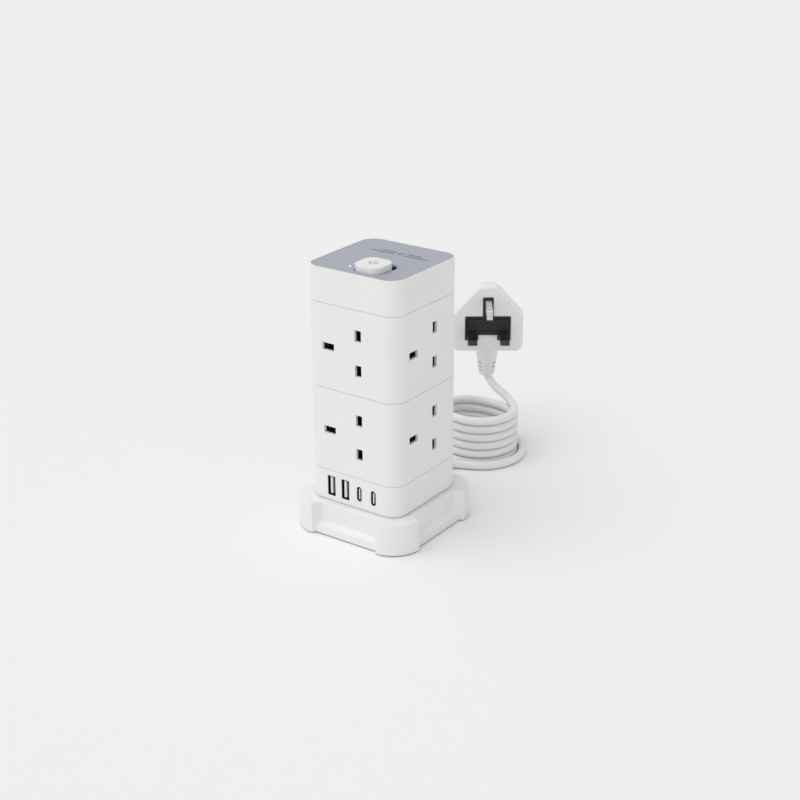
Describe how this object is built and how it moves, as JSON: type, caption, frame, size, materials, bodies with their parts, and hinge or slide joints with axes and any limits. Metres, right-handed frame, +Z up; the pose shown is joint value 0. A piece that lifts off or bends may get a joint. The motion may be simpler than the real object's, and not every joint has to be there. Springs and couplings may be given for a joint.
{
  "type": "tower power strip",
  "caption": "White square tower of mains outlets with USB ports, a power button on top, a lobed base and a coiled lead with its plug",
  "frame": {"origin": "on the floor under the middle of the tower's base", "axes": "+Z up along the tower, -Y out of the face with the USB ports, +X to that face's right as it is looked at"},
  "size_m": [0.089, 0.2178, 0.1765],
  "materials": {
    "housing_plastic": "white polycarbonate, fine satin",
    "panel_plastic": "blue-grey polycarbonate, satin",
    "inner_plastic": "black glass-filled nylon",
    "foot_rubber": "soft moulded rubber",
    "steel": "plated steel",
    "brass": "rolled brass, nickel-plated on the pins",
    "circuit_board": "glass-fibre board with green lacquer",
    "lamp_plastic": "clear polystyrene",
    "tongue_plastic": "white nylon",
    "varistor_coating": "blue epoxy coating",
    "winding_tape": "yellow polyester tape",
    "cord_jacket": "soft white PVC",
    "wire_sleeve": "coloured PVC sleeves"
  },
  "bodies": {
    "housing": {"base_shell": "housing_plastic", "base_plate": "housing_plastic", "rubber_feet": "foot_rubber", "small_screws": "steel", "tie_screws": "steel", "usb_tier_shell": "housing_plastic", "lower_outlet_shell": "housing_plastic", "upper_outlet_shell": "housing_plastic", "top_cap_shell": "housing_plastic", "top_panel": "panel_plastic", "button_spring": "steel", "switch_body": "inner_plastic", "indicator_lens": "lamp_plastic", "indicator_led": "lamp_plastic", "top_board": "circuit_board", "surge_varistors": "varistor_coating", "lower_socket_core": "inner_plastic", "upper_socket_core": "inner_plastic", "live_busbar": "brass", "neutral_busbar": "brass", "earth_busbar": "brass", "lower_front_spring": "steel", "lower_right_spring": "steel", "lower_back_spring": "steel", "lower_left_spring": "steel", "upper_front_spring": "steel", "upper_right_spring": "steel", "upper_back_spring": "steel", "upper_left_spring": "steel", "terminal_block": "inner_plastic", "supply_wires": "wire_sleeve", "usb_board": "circuit_board", "usb_a_shells": "steel", "usb_a_tongues": "tongue_plastic", "usb_c_shells": "steel", "usb_c_tongues": "tongue_plastic", "usb_transformer": "winding_tape", "usb_capacitors": "varistor_coating", "cord_clamp": "housing_plastic", "cord_gland": "cord_jacket", "cord_lead": "cord_jacket", "cord_coil": "cord_jacket", "cord_tail": "cord_jacket", "plug_body": "housing_plastic", "plug_insert": "inner_plastic", "live_neutral_pins": "brass", "earth_pin": "brass", "plug_fuse": "steel", "plug_relief": "cord_jacket"},
    "button": {"power_button": "housing_plastic"},
    "lower_front_shutter_body": {"lower_front_shutter": "inner_plastic"},
    "lower_right_shutter_body": {"lower_right_shutter": "inner_plastic"},
    "lower_back_shutter_body": {"lower_back_shutter": "inner_plastic"},
    "lower_left_shutter_body": {"lower_left_shutter": "inner_plastic"},
    "upper_front_shutter_body": {"upper_front_shutter": "inner_plastic"},
    "upper_right_shutter_body": {"upper_right_shutter": "inner_plastic"},
    "upper_back_shutter_body": {"upper_back_shutter": "inner_plastic"},
    "upper_left_shutter_body": {"upper_left_shutter": "inner_plastic"},
    "fuse_drawer": {"fuse_carrier": "inner_plastic"}
  },
  "joints": [
    {"name": "button_press", "type": "slide", "parent": "housing", "child": "button", "axis": [0, 0, 1], "range_m": [-0.003, 0], "stiffness_N_per_m": 600, "deforming": ["button_spring"]},
    {"name": "lower_front_shutter_slide", "type": "slide", "parent": "housing", "child": "lower_front_shutter_body", "axis": [1, 0, 0], "range_m": [0, 0.0056], "stiffness_N_per_m": 120, "deforming": ["lower_front_spring"]},
    {"name": "lower_right_shutter_slide", "type": "slide", "parent": "housing", "child": "lower_right_shutter_body", "axis": [0, 1, 0], "range_m": [0, 0.0056], "stiffness_N_per_m": 120, "deforming": ["lower_right_spring"]},
    {"name": "lower_back_shutter_slide", "type": "slide", "parent": "housing", "child": "lower_back_shutter_body", "axis": [-1, 0, 0], "range_m": [0, 0.0056], "stiffness_N_per_m": 120, "deforming": ["lower_back_spring"]},
    {"name": "lower_left_shutter_slide", "type": "slide", "parent": "housing", "child": "lower_left_shutter_body", "axis": [0, -1, 0], "range_m": [0, 0.0056], "stiffness_N_per_m": 120, "deforming": ["lower_left_spring"]},
    {"name": "upper_front_shutter_slide", "type": "slide", "parent": "housing", "child": "upper_front_shutter_body", "axis": [1, 0, 0], "range_m": [0, 0.0056], "stiffness_N_per_m": 120, "deforming": ["upper_front_spring"]},
    {"name": "upper_right_shutter_slide", "type": "slide", "parent": "housing", "child": "upper_right_shutter_body", "axis": [0, 1, 0], "range_m": [0, 0.0056], "stiffness_N_per_m": 120, "deforming": ["upper_right_spring"]},
    {"name": "upper_back_shutter_slide", "type": "slide", "parent": "housing", "child": "upper_back_shutter_body", "axis": [-1, 0, 0], "range_m": [0, 0.0056], "stiffness_N_per_m": 120, "deforming": ["upper_back_spring"]},
    {"name": "upper_left_shutter_slide", "type": "slide", "parent": "housing", "child": "upper_left_shutter_body", "axis": [0, -1, 0], "range_m": [0, 0.0056], "stiffness_N_per_m": 120, "deforming": ["upper_left_spring"]},
    {"name": "fuse_carrier_pull", "type": "slide", "parent": "housing", "child": "fuse_drawer", "axis": [0.5736, -0.8192, 0], "range_m": [0, 0.012]}
  ]
}
